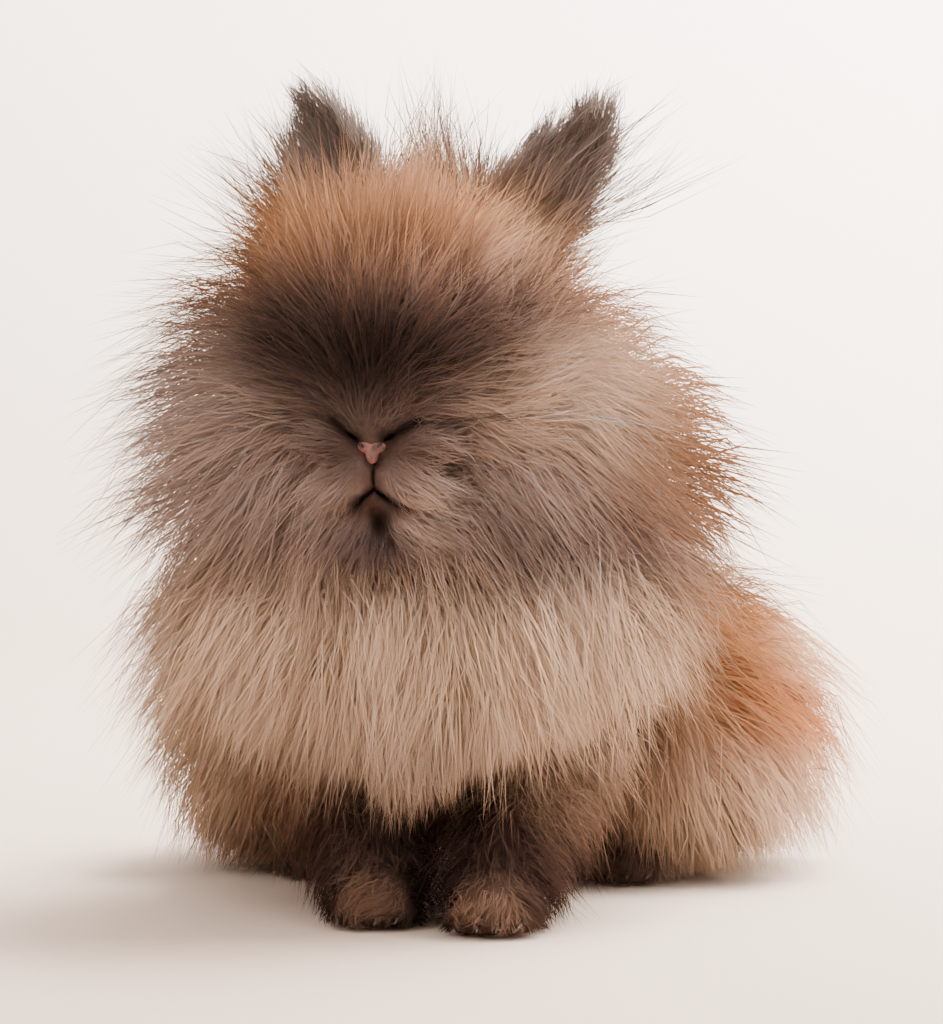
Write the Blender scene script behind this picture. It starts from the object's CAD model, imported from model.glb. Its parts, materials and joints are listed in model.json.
"""The looks of a sitting lionhead rabbit: skin, woolly coat, eyes, nose, claws and whiskers.

Places are written in the sitting frame of the solids, in metres: the rabbit looks along -Y,
its left side is +X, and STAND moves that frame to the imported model's own.
"""

import json
import logging
import math
from dataclasses import dataclass, field
from enum import Enum

import bmesh
import bpy
import numpy as np
from mathutils import Euler, Matrix, Vector
from mathutils.kdtree import KDTree

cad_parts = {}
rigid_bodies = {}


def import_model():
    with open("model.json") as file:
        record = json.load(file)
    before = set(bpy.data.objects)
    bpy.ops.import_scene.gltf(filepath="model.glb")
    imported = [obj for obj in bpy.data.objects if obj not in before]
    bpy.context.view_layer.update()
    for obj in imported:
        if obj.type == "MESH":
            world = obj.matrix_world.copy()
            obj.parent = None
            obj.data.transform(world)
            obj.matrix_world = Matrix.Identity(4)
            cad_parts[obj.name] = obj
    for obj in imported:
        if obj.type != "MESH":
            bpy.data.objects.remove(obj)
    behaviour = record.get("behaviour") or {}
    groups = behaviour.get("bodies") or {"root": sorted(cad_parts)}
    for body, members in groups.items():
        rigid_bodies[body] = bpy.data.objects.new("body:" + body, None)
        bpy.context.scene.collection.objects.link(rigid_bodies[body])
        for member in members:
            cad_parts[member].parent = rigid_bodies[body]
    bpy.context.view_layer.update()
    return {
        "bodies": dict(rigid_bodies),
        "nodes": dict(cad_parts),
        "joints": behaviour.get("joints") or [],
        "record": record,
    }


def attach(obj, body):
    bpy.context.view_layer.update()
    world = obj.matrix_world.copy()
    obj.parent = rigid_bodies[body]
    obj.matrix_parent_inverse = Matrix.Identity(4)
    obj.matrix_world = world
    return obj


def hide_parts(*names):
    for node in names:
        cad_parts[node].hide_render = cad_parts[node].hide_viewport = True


LOG = logging.getLogger("rabbit")
BODY = "root"
UNWRAP = "OFBake"
CM2_PER_M2 = 1e4
BURIED = 0.90
DEPTH_SHADE = 0.95
CREASE_SHADE = 0.4
CREASE_DEPTH = 0.92
PIECE_TRIANGLES = 195000
STRAND_FACES = ((0, 2, 1), (0, 3, 2), (0, 1, 3), (1, 2, 4), (2, 3, 4), (3, 1, 4))
LID_RADIUS, LID_THICKNESS = 0.0064, 0.0012
TINT = "coat_tint"
SEED = 19

STAND = Vector((0.0005, -0.036, 0.0))
NOSE_TIP = Vector((-0.007, -0.105, 0.1315))
HEAD = (
    Matrix.Translation(NOSE_TIP)
    @ Matrix.Rotation(math.radians(-5.0), 4, "Z")
    @ Matrix.Rotation(math.radians(35.0), 4, "X")
)
FACE = Matrix.Translation(NOSE_TIP) @ Matrix.Rotation(math.radians(-5.0), 4, "Z")
FLOOR_CLEARANCE = 0.0008
ROOM = (Vector((-0.119, -0.123, 0.0)), Vector((0.121, 0.190, 0.243)))
NOSE_PAD_CENTRE = Vector((0.0, 0.0030, -0.0022))
EYE_PLACE = Vector((0.0225, 0.0410, 0.0095))


class Frame(Enum):
    """The frame that a form or patch is written in: the trunk's, the skull's or the face's."""

    BODY = Matrix.Identity(4)
    SKULL = HEAD
    FACE = FACE

    def local(self, points: np.ndarray) -> np.ndarray:
        """Return points of the sitting frame in this frame, one a row.

        Args:
            points: Places in the sitting frame, one a row.
        """
        return seen_from(self.value, points)


class Tone(Enum):
    """The colours of the animal, as seen in even light."""

    MASK = (20, 13, 9)
    SEPIA = (83, 67, 62)
    BROW = (154, 106, 71)
    TAUPE = (86, 75, 77)
    MUZZLE = (141, 120, 110)
    CREAM = (195, 163, 137)
    TAN = (87, 53, 30)
    ORANGE = (151, 79, 29)
    EAR = (93, 81, 75)
    LEG = (50, 37, 33)
    RUST = (107, 83, 68)
    PINK = (118, 66, 62)
    LIP = (62, 40, 36)
    HORN = (44, 34, 30)

    def linear(self) -> tuple[float, float, float]:
        """Return the colour as linear light."""
        shares = (channel / 255.0 for channel in self.value)
        return tuple(s / 12.92 if s < 0.04045 else ((s + 0.055) / 1.055) ** 2.4 for s in shares)


class Region(Enum):
    """A stretch of the body with its own kind of wool."""

    MUZZLE = "muzzle"
    FACE = "face"
    CROWN = "crown"
    MANE = "mane"
    CHEST = "chest"
    BACK = "back"
    HAUNCH = "haunch"
    FORELEG = "foreleg"
    FOOT = "foot"
    TAIL = "tail"
    EAR = "ear"


@dataclass(frozen=True)
class Lie:
    """Which way the wool lies: away from a pole, along a run and outward from the middle."""

    pole: Vector
    away: float
    run: Vector
    sides: float = 0.0

    def directions(self, points: np.ndarray) -> np.ndarray:
        """Return the lie at each point.

        Args:
            points: Places on the skin, one a row.

        Returns:
            One unit vector a row.
        """
        spread = unit(points - np.array(self.pole)) * self.away
        flow = spread + np.array(self.run)
        flow[:, 0] += self.sides * np.tanh(points[:, 0] / 0.04)
        return unit(flow)


@dataclass(frozen=True)
class Wool:
    """One kind of wool.

    Args:
        length: Length of a strand.
        width: Width of a strand at its widest.
        stand: How far a strand leaves the skin at its root, from 0, flat, to 1, upright.
        settle: How far it still stands off near its tip.
        droop: How far its tip hangs.
        clump: How far tips draw together into tufts.
        dense: Strands for each square centimetre.
        lie: Which way it lies.
        hem: How high above the floor its lowest tips end.
        hold: How far a strand keeps its root's colour along its length.
    """

    length: float
    width: float
    stand: float
    settle: float
    droop: float
    clump: float
    dense: float
    lie: Lie
    hem: float = 0.0
    hold: float = 0.0


FACE_POLE = Vector((-0.007, -0.098, 0.128))
WOOLS = {
    Region.MUZZLE: Wool(0.038, 0.00022, 0.34, 0.18, 0.04, 0.18, 1150.0,
                        Lie(FACE_POLE, 1.0, Vector((0.0, 0.30, 0.0)))),
    Region.FACE: Wool(0.037, 0.00027, 0.56, 0.31, 0.18, 0.30, 760.0,
                      Lie(FACE_POLE, 1.0, Vector((0.0, 0.25, -0.08)))),
    Region.CROWN: Wool(0.028, 0.00028, 0.58, 0.36, 0.00, 0.30, 640.0,
                       Lie(FACE_POLE, 1.0, Vector((0.0, 0.30, 0.0)), 0.35)),
    Region.MANE: Wool(0.045, 0.00030, 0.80, 0.38, 0.46, 0.32, 380.0,
                      Lie(Vector((-0.005, -0.080, 0.135)), 1.0, Vector((0.0, 0.45, -0.50)))),
    Region.CHEST: Wool(0.0445, 0.00030, 0.80, 0.36, 0.66, 0.34, 430.0,
                       Lie(Vector((0.0, -0.034, 0.130)), 0.35, Vector((0.0, -0.10, -1.0)), 0.12),
                       hem=0.042, hold=0.45),
    Region.BACK: Wool(0.043, 0.00046, 0.62, 0.24, 0.34, 0.36, 130.0,
                      Lie(Vector((0.0, -0.090, 0.180)), 1.0, Vector((0.0, 0.35, -0.10)))),
    Region.HAUNCH: Wool(0.043, 0.00037, 0.68, 0.26, 0.50, 0.34, 230.0,
                        Lie(Vector((0.0, 0.060, 0.100)), 0.35, Vector((0.0, 0.25, -1.0)))),
    Region.FORELEG: Wool(0.023, 0.00027, 0.60, 0.24, 0.30, 0.36, 500.0,
                         Lie(Vector((0.0, -0.03, 0.09)), 0.4, Vector((0.0, -0.50, -0.9)), 0.2)),
    Region.FOOT: Wool(0.0115, 0.00026, 0.50, 0.18, 0.20, 0.30, 650.0,
                      Lie(Vector((0.0, 0.05, 0.06)), 0.3, Vector((0.0, -1.0, -0.25)))),
    Region.TAIL: Wool(0.026, 0.00036, 0.60, 0.25, 0.50, 0.36, 250.0,
                      Lie(Vector((0.0, 0.100, 0.070)), 0.6, Vector((0.0, 0.3, -0.8)))),
    Region.EAR: Wool(0.016, 0.00025, 0.36, 0.17, 0.0, 0.30, 600.0,
                     Lie(Vector((0.0, -0.055, 0.150)), 1.0, Vector((0.0, 0.0, 0.3)))),
}


@dataclass(frozen=True)
class Swell:
    """A place where the wool grows longer, or shorter below 0, and may turn another way."""

    centre: tuple[float, float, float]
    radius: float
    gain: float
    turn: tuple[float, float, float] = (0.0, 0.0, 0.0)
    share: float = 1.0

    def weights(self, points: np.ndarray) -> np.ndarray:
        """Return how strongly the swell acts at each point, from 0 to 1.

        Args:
            points: Places on the skin, one a row.
        """
        away = np.linalg.norm(points - np.array(self.centre), axis=1) / self.radius
        return np.exp(-(away ** 2))


SWELLS = (
    Swell((-0.030, -0.058, 0.180), 0.020, 0.55, (-0.3, 0.0, 0.1)),
    Swell((0.000, -0.060, 0.188), 0.020, -0.04),
    Swell((0.000, -0.058, 0.190), 0.018, 0.80, (0.2, 0.2, 1.6), 0.14),
    Swell((0.012, -0.055, 0.191), 0.008, 0.80, (-0.4, -0.4, 1.0), 0.5),
    Swell((0.038, -0.050, 0.187), 0.012, 2.60, (1.6, 0.2, 0.1), 0.12),
    Swell((-0.036, -0.047, 0.190), 0.012, 1.20, (-1.2, 0.0, 0.9), 0.4),
    Swell((0.045, -0.030, 0.160), 0.022, -0.15),
    Swell((0.004, -0.048, 0.025), 0.016, 0.50),
    Swell((-0.045, -0.035, 0.128), 0.030, 0.28),
    Swell((-0.045, -0.030, 0.095), 0.024, 0.32),
    Swell((-0.045, -0.030, 0.068), 0.022, 0.20),
    Swell((0.045, 0.000, 0.125), 0.035, 0.36),
    Swell((0.076, 0.085, 0.060), 0.025, 0.25, (0.5, 0.0, 0.4)),
)


@dataclass(frozen=True)
class Form:
    """An ellipsoid of flesh under the wool, turned about its own centre in degrees."""

    region: Region
    centre: tuple[float, float, float]
    radii: tuple[float, float, float]
    turn: tuple[float, float, float] = (0.0, 0.0, 0.0)
    frame: Frame = Frame.BODY
    paired: bool = False

    def matrix(self, side: float = 1.0) -> Matrix:
        """Return the matrix that makes a unit sphere into this form.

        Args:
            side: 1 for the form as written, -1 for its twin across the middle plane.
        """
        centre = Vector((side * self.centre[0], self.centre[1], self.centre[2]))
        tilt, roll, yaw = (math.radians(angle) for angle in self.turn)
        own = Matrix.LocRotScale(centre, Euler((tilt, side * roll, side * yaw)), Vector(self.radii))
        return self.frame.value @ own

    def matrices(self) -> list[Matrix]:
        """Return the matrix of the form and of its twin, if it has one."""
        return [self.matrix(side) for side in ((1.0, -1.0) if self.paired else (1.0,))]


HEAD_FORMS = (
    Form(Region.CROWN, (0.0, 0.056, 0.004), (0.0245, 0.0240, 0.0220), frame=Frame.SKULL),
    Form(Region.FACE, (0.0, 0.046, -0.002), (0.0245, 0.0270, 0.0220), frame=Frame.SKULL),
    Form(Region.FACE, (0.0, 0.026, 0.001), (0.0185, 0.0220, 0.0180), frame=Frame.SKULL),
    Form(Region.MUZZLE, (0.0, 0.0135, -0.0005), (0.0128, 0.0118, 0.0115), frame=Frame.SKULL),
    Form(Region.MUZZLE, (0.0066, 0.0098, -0.0048), (0.0074, 0.0082, 0.0060), frame=Frame.SKULL,
         paired=True),
    Form(Region.FACE, (0.0140, 0.0360, -0.0080), (0.0120, 0.0180, 0.0130), frame=Frame.SKULL,
         paired=True),
    Form(Region.FACE, (0.0180, 0.0410, 0.0095), (0.0088, 0.0105, 0.0095), frame=Frame.SKULL,
         paired=True),
    Form(Region.MUZZLE, (0.0058, 0.0098, -0.0095), (0.0068, 0.0075, 0.0062), frame=Frame.FACE,
         paired=True),
    Form(Region.MUZZLE, (0.0, 0.0122, -0.0165), (0.0060, 0.0075, 0.0046), frame=Frame.FACE),
    Form(Region.FACE, (0.0, 0.0220, -0.0190), (0.0120, 0.0140, 0.0080), frame=Frame.FACE),
)
BODY_FORMS = (
    Form(Region.BACK, (0.018, 0.000, 0.117), (0.036, 0.033, 0.039)),
    Form(Region.MANE, (-0.005, -0.034, 0.131), (0.048, 0.033, 0.047)),
    Form(Region.CHEST, (0.0, -0.034, 0.080), (0.053, 0.030, 0.042)),
    Form(Region.BACK, (0.0, 0.006, 0.086), (0.045, 0.036, 0.043)),
    Form(Region.BACK, (0.0, 0.044, 0.079), (0.048, 0.048, 0.048)),
    Form(Region.BACK, (0.0, 0.088, 0.071), (0.047, 0.046, 0.044)),
    Form(Region.HAUNCH, (0.054, 0.074, 0.045), (0.0250, 0.0420, 0.0340), paired=True),
    Form(Region.FOOT, (0.0490, 0.0760, 0.0095), (0.0110, 0.0400, 0.0088), paired=True),
    Form(Region.TAIL, (0.004, 0.147, 0.058), (0.0095, 0.0088, 0.0155)),
)
FORE_LEGS = {
    "left": (Vector((0.033, -0.020, 0.052)), Vector((0.029, -0.038, 0.034)),
             Vector((0.024, -0.054, 0.020)), Vector((0.022, -0.064, 0.010)),
             Vector((0.022, -0.078, 0.0072))),
    "right": (Vector((-0.033, -0.016, 0.052)), Vector((-0.026, -0.034, 0.034)),
              Vector((-0.017, -0.046, 0.020)), Vector((-0.013, -0.054, 0.010)),
              Vector((-0.012, -0.067, 0.0072))),
}
FORE_LEG_RADII = (0.0120, 0.0105, 0.0095, 0.0100, 0.0110)
PAW_HEIGHT = 0.0068
TOES_PER_FOOT = 4
TOE_RADII = {"fore": (0.0038, 0.0080, 0.0054), "hind": (0.0040, 0.0105, 0.0058)}
HIND_TOE_ROW = Vector((0.044, 0.041, 0.0055))


@dataclass(frozen=True)
class Crease:
    """A straight crease of the face between two places, x and z in the face's frame.

    Args:
        start: Where it starts.
        end: Where it ends.
        spread: How far its shade spreads.
        cut: What share of its length is cut into the flesh.
    """

    start: tuple[float, float]
    end: tuple[float, float]
    spread: float
    cut: float

    def distance(self, places: np.ndarray) -> np.ndarray:
        """Return each place's distance from the crease in spreads, as seen from the front.

        Args:
            places: Points in the face's frame, one a row.
        """
        start, end = np.array(self.start), np.array(self.end)
        run = end - start
        flat = places[:, [0, 2]]
        share = ((flat - start) @ run / (run @ run)).clip(0.0, 1.0)
        return np.linalg.norm(flat - start - share[:, None] * run, axis=1) / self.spread


CREASES = (
    Crease((-0.0040, 0.0004), (-0.0112, 0.0062), 0.0021, 0.25),
    Crease((0.0040, 0.0004), (0.0114, 0.0048), 0.0021, 0.25),
    Crease((0.0, -0.0060), (0.0, -0.0127), 0.0006, 1.0),
    Crease((0.0, -0.0127), (-0.0066, -0.0180), 0.0013, 1.0),
    Crease((0.0, -0.0127), (0.0078, -0.0180), 0.0013, 1.0),
)
FACE_DEPTH = 0.022


def distance_to_creases(places: np.ndarray) -> np.ndarray:
    """Return how many spreads each place lies from the nearest crease of the face.

    Args:
        places: Points in the face's frame, one a row.
    """
    nearest = np.min([crease.distance(places) for crease in CREASES], axis=0)
    return np.where(places[:, 1] < FACE_DEPTH, nearest, 99.0)


def unit(vectors: np.ndarray) -> np.ndarray:
    """Return each row at length 1."""
    return vectors / np.maximum(np.linalg.norm(vectors, axis=1, keepdims=True), 1e-9)


def seen_from(matrix: Matrix, points: np.ndarray) -> np.ndarray:
    """Return points in a matrix's own frame, one a row.

    Args:
        matrix: The frame.
        points: Places in the sitting frame, one a row.
    """
    back = np.array(matrix.inverted())
    return points @ back[:3, :3].T + back[:3, 3]


def reach_in(matrix: Matrix, points: np.ndarray) -> np.ndarray:
    """Return how far each point lies from an ellipsoid's centre, 1 on its surface.

    Args:
        matrix: What makes a unit sphere into the ellipsoid.
        points: Places in the sitting frame, one a row.
    """
    return np.linalg.norm(seen_from(matrix, points), axis=1)


def read(items: bpy.types.bpy_prop_collection, name: str, width: int,
         kind: type = float) -> np.ndarray:
    """Return one property of all items of a mesh, one item a row.

    Args:
        items: The mesh's points, triangles or map.
        name: The property.
        width: How many numbers it has.
        kind: What kind of number.
    """
    values = np.empty(len(items) * width, dtype=kind)
    items.foreach_get(name, values)
    return values.reshape(-1, width)


def deselect() -> None:
    """Leave edit mode and deselect everything."""
    if bpy.context.object and bpy.context.object.mode != "OBJECT":
        bpy.ops.object.mode_set(mode="OBJECT")
    bpy.ops.object.select_all(action="DESELECT")


def select(*objects: bpy.types.Object) -> None:
    """Select only these objects and make the first one active.

    Args:
        objects: The objects.
    """
    deselect()
    for obj in objects:
        obj.select_set(True)
    bpy.context.view_layer.objects.active = objects[0]


def apply_modifier(obj: bpy.types.Object, kind: str, **settings: object) -> None:
    """Add one modifier to a piece and apply it.

    Args:
        obj: The piece.
        kind: The modifier's type.
        settings: Its properties.
    """
    modifier = obj.modifiers.new(kind.lower(), kind)
    for name, value in settings.items():
        setattr(modifier, name, value)
    select(obj)
    bpy.ops.object.modifier_apply(modifier=modifier.name)


def ball(matrix: Matrix, segments: int = 32, rings: int = 20) -> bpy.types.Object:
    """Add a sphere and shape it with a matrix.

    Args:
        matrix: What makes the unit sphere into the form.
        segments: Facets round it.
        rings: Rows of facets.

    Returns:
        The new object, with its place in its mesh.
    """
    deselect()
    bpy.ops.mesh.primitive_uv_sphere_add(segments=segments, ring_count=rings, radius=1.0)
    obj = bpy.context.active_object
    obj.data.transform(matrix)
    return obj


def join(objects: list[bpy.types.Object], name: str) -> bpy.types.Object:
    """Join meshes into one object.

    Args:
        objects: The pieces, of which the first stays.
        name: The name of the result.
    """
    select(*objects)
    bpy.ops.object.join()
    objects[0].name = name
    return objects[0]


def settle(obj: bpy.types.Object, slot: str) -> bpy.types.Object:
    """Move a finished piece from the sitting frame to the model's and let it ride on the body.

    Args:
        obj: The piece, with its place in its mesh.
        slot: The material slot that it takes its finish from.
    """
    obj.data.transform(Matrix.Translation(STAND))
    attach(obj, BODY)
    LOG.info("%s: %d faces", obj.name, len(obj.data.polygons))
    return obj


@dataclass(frozen=True)
class Patch:
    """A soft-edged patch of colour round a centre."""

    tone: Tone
    centre: tuple[float, float, float]
    radii: tuple[float, float, float]
    strength: float = 1.0
    frame: Frame = Frame.BODY
    edge: float = 2.0

    def weights(self, places: np.ndarray) -> np.ndarray:
        """Return how strongly the patch colours each point.

        Args:
            places: Points in the patch's frame, one a row.
        """
        reach = np.linalg.norm((places - np.array(self.centre)) / np.array(self.radii), axis=1)
        return self.strength * np.exp(-(reach ** (2.0 * self.edge)))


@dataclass
class Markings:
    """The pattern of the coat, the same for skin and wool."""

    base: Tone = Tone.TAN
    patches: tuple[Patch, ...] = (
        Patch(Tone.CREAM, (0.0, 0.060, 0.030), (0.140, 0.100, 0.035), 0.30),
        Patch(Tone.ORANGE, (0.0, 0.050, 0.120), (0.055, 0.110, 0.035), 0.50),
        Patch(Tone.CREAM, (-0.085, 0.040, 0.032), (0.042, 0.090, 0.034), 0.40),
        Patch(Tone.ORANGE, (0.100, 0.075, 0.040), (0.040, 0.060, 0.035), 0.60),
        Patch(Tone.CREAM, (0.105, 0.085, 0.064), (0.025, 0.045, 0.012), 0.50),
        Patch(Tone.MUZZLE, (-0.014, -0.070, 0.128), (0.078, 0.060, 0.046), 0.92),
        Patch(Tone.CREAM, (-0.006, -0.060, 0.069), (0.112, 0.070, 0.036), 0.94),
        Patch(Tone.BROW, (0.072, 0.010, 0.105), (0.024, 0.060, 0.045), 0.45),
        Patch(Tone.RUST, (0.070, -0.010, 0.125), (0.022, 0.050, 0.016), 0.45),
        Patch(Tone.CREAM, (0.080, 0.060, 0.014), (0.040, 0.060, 0.026), 0.82),
        Patch(Tone.TAUPE, (0.058, -0.030, 0.135), (0.012, 0.040, 0.013), 0.50),
        Patch(Tone.MUZZLE, (-0.048, -0.055, 0.130), (0.050, 0.070, 0.030), 0.80),
        Patch(Tone.CREAM, (0.045, -0.055, 0.142), (0.030, 0.070, 0.022), 0.45),
        Patch(Tone.TAN, (0.066, -0.015, 0.116), (0.021, 0.060, 0.040), 0.75),
        Patch(Tone.RUST, (0.070, -0.025, 0.098), (0.013, 0.060, 0.026), 0.85),
        Patch(Tone.MUZZLE, (0.020, -0.080, 0.118), (0.034, 0.050, 0.014), 0.70),
        Patch(Tone.TAUPE, (-0.004, -0.070, 0.102), (0.072, 0.075, 0.011), 0.85),
        Patch(Tone.TAUPE, (0.0, -0.060, 0.050), (0.060, 0.060, 0.011), 0.35),
        Patch(Tone.BROW, (-0.006, -0.060, 0.191), (0.070, 0.055, 0.021), 0.92),
        Patch(Tone.CREAM, (0.036, -0.070, 0.187), (0.018, 0.050, 0.012), 0.22),
        Patch(Tone.RUST, (0.000, -0.060, 0.207), (0.050, 0.060, 0.012), 0.55),
        Patch(Tone.SEPIA, (-0.006, -0.080, 0.165), (0.052, 0.050, 0.024), 0.88),
        Patch(Tone.MASK, (-0.008, -0.090, 0.156), (0.040, 0.045, 0.019), 0.94),
        Patch(Tone.MASK, (-0.044, -0.080, 0.163), (0.014, 0.050, 0.012), 0.20),
        Patch(Tone.SEPIA, (0.034, -0.080, 0.172), (0.014, 0.050, 0.010), 0.25),
        Patch(Tone.SEPIA, (0.0, 0.008, 0.001), (0.029, 0.030, 0.012), 0.80, Frame.FACE),
        Patch(Tone.MASK, (0.0, 0.008, 0.012), (0.020, 0.030, 0.010), 0.45, Frame.FACE),
        Patch(Tone.MUZZLE, (-0.018, 0.010, -0.015), (0.014, 0.030, 0.010), 0.40, Frame.FACE),
        Patch(Tone.MUZZLE, (0.020, 0.010, -0.014), (0.014, 0.030, 0.010), 0.40, Frame.FACE),
        Patch(Tone.CREAM, (-0.019, 0.010, -0.020), (0.009, 0.030, 0.012), 0.12, Frame.FACE),
        Patch(Tone.CREAM, (0.014, 0.010, -0.027), (0.008, 0.030, 0.014), 0.16, Frame.FACE),
        Patch(Tone.RUST, (0.014, 0.010, -0.006), (0.009, 0.016, 0.005), 0.35, Frame.FACE),
        Patch(Tone.RUST, (-0.012, 0.010, -0.007), (0.008, 0.016, 0.004), 0.30, Frame.FACE),
        Patch(Tone.SEPIA, (0.0, 0.008, -0.005), (0.019, 0.030, 0.009), 0.75, Frame.FACE),
        Patch(Tone.MASK, (0.0, 0.008, -0.001), (0.015, 0.030, 0.006), 0.35, Frame.FACE),
        Patch(Tone.LIP, (0.0, 0.006, -0.010), (0.0050, 0.012, 0.0050), 0.60, Frame.FACE),
        Patch(Tone.MASK, (0.0004, 0.010, -0.0176), (0.0080, 0.014, 0.0044), 0.85, Frame.FACE),
        Patch(Tone.LIP, (0.0, 0.010, -0.0168), (0.0030, 0.014, 0.0024), 0.80, Frame.FACE),
        Patch(Tone.MASK, (0.0008, 0.010, -0.0230), (0.0032, 0.016, 0.0060), 0.95, Frame.FACE),
        Patch(Tone.TAUPE, (0.0, 0.010, -0.031), (0.0110, 0.016, 0.0060), 0.50, Frame.FACE),
        Patch(Tone.EAR, (0.0, -0.050, 0.224), (0.030, 0.040, 0.014), 0.80),
        Patch(Tone.EAR, (0.052, -0.045, 0.196), (0.020, 0.030, 0.014), 0.80),
        Patch(Tone.EAR, (-0.030, -0.045, 0.218), (0.026, 0.030, 0.024), 0.95),
        Patch(Tone.EAR, (0.040, -0.050, 0.215), (0.034, 0.030, 0.024), 0.95),
        Patch(Tone.LEG, (0.004, -0.040, 0.010), (0.056, 0.085, 0.030), 0.98, edge=4.0),
        Patch(Tone.LEG, (0.050, 0.030, 0.006), (0.020, 0.020, 0.009), 0.85),
        Patch(Tone.LEG, (-0.050, 0.030, 0.006), (0.020, 0.020, 0.009), 0.60),
        Patch(Tone.RUST, (0.042, -0.045, 0.034), (0.014, 0.035, 0.014), 0.75),
        Patch(Tone.RUST, (0.020, -0.096, 0.010), (0.016, 0.020, 0.012), 0.60),
        Patch(Tone.RUST, (-0.012, -0.086, 0.010), (0.016, 0.020, 0.012), 0.55),
        Patch(Tone.BROW, (0.016, -0.100, 0.010), (0.005, 0.016, 0.008), 0.14),
        Patch(Tone.BROW, (0.029, -0.100, 0.010), (0.004, 0.016, 0.008), 0.12),
        Patch(Tone.BROW, (-0.014, -0.090, 0.011), (0.005, 0.016, 0.008), 0.14),
        Patch(Tone.CREAM, (0.004, -0.100, 0.003), (0.007, 0.012, 0.004), 0.70),
    )

    def colours(self, points: np.ndarray) -> np.ndarray:
        """Return the linear colour at each point.

        Args:
            points: Places in the sitting frame, one a row.

        Returns:
            Red, green and blue, one point a row.
        """
        places = {frame: frame.local(points) for frame in Frame}
        tints = np.tile(np.array(self.base.linear()), (len(points), 1))
        for patch in self.patches:
            weight = patch.weights(places[patch.frame])[:, None]
            tints = tints * (1.0 - weight) + np.array(patch.tone.linear()) * weight
        near = np.exp(-(distance_to_creases(places[Frame.FACE]) ** 2))[:, None]
        depth = CREASE_DEPTH * near
        return tints * (1.0 - depth) + CREASE_SHADE * np.array(Tone.MASK.linear()) * depth


def new_material(name: str) -> tuple[bpy.types.Material, bpy.types.NodeTree, bpy.types.Node]:
    """Return a new material with its nodes and its main shader.

    Args:
        name: The material's name.
    """
    material = bpy.data.materials.new(name)
    material.use_nodes = True
    tree = material.node_tree
    return material, tree, tree.nodes["Principled BSDF"]


def noise_node(tree: bpy.types.NodeTree, scale: float, detail: float = 2.0) -> bpy.types.Node:
    """Return a noise laid in the piece's own coordinates.

    Args:
        tree: The material's nodes.
        scale: How fine the noise is.
        detail: How many finer layers it has.
    """
    place = tree.nodes.new("ShaderNodeTexCoord")
    noise = tree.nodes.new("ShaderNodeTexNoise")
    noise.inputs["Scale"].default_value = scale
    noise.inputs["Detail"].default_value = detail
    tree.links.new(place.outputs["Object"], noise.inputs["Vector"])
    return noise


@dataclass(frozen=True)
class WoolFinish:
    """A matt finish that takes its colour from the piece's own tint."""

    name: str
    roughness: float = 0.8
    grain_scale: float = 900.0
    grain: float = 0.10

    def material(self) -> bpy.types.Material:
        """Return the material, made from shader nodes."""
        material, tree, shader = new_material(self.name)
        tint = tree.nodes.new("ShaderNodeAttribute")
        tint.attribute_name = TINT
        grain = noise_node(tree, self.grain_scale, 0.0)
        levels = tree.nodes.new("ShaderNodeMapRange")
        levels.inputs["To Min"].default_value = 1.0 - self.grain
        levels.inputs["To Max"].default_value = 1.0 + self.grain
        tree.links.new(grain.outputs["Fac"], levels.inputs["Value"])
        mix = tree.nodes.new("ShaderNodeVectorMath")
        mix.operation = "SCALE"
        tree.links.new(tint.outputs["Color"], mix.inputs[0])
        tree.links.new(levels.outputs["Result"], mix.inputs["Scale"])
        tree.links.new(mix.outputs["Vector"], shader.inputs["Base Color"])
        shader.inputs["Roughness"].default_value = self.roughness
        shader.inputs["Specular IOR Level"].default_value = 0.0
        return material


@dataclass(frozen=True)
class GlossFinish:
    """A smooth coloured finish with a fine mottle, for eyes, horn and bare skin."""

    name: str
    tone: Tone
    dark: Tone
    roughness: float
    coat: float = 0.0
    mottle_scale: float = 400.0
    bump: float = 0.0

    def material(self) -> bpy.types.Material:
        """Return the material, made from shader nodes."""
        material, tree, shader = new_material(self.name)
        mottle = noise_node(tree, self.mottle_scale)
        ramp = tree.nodes.new("ShaderNodeValToRGB")
        ramp.color_ramp.elements[0].position = 0.35
        ramp.color_ramp.elements[0].color = (*self.dark.linear(), 1.0)
        ramp.color_ramp.elements[1].position = 0.65
        ramp.color_ramp.elements[1].color = (*self.tone.linear(), 1.0)
        tree.links.new(mottle.outputs["Fac"], ramp.inputs["Fac"])
        tree.links.new(ramp.outputs["Color"], shader.inputs["Base Color"])
        shader.inputs["Roughness"].default_value = self.roughness
        shader.inputs["Coat Weight"].default_value = self.coat
        if self.bump > 0.0:
            relief = tree.nodes.new("ShaderNodeBump")
            relief.inputs["Strength"].default_value = self.bump
            relief.inputs["Distance"].default_value = 0.0002
            tree.links.new(mottle.outputs["Fac"], relief.inputs["Height"])
            tree.links.new(relief.outputs["Normal"], shader.inputs["Normal"])
        return material


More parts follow.
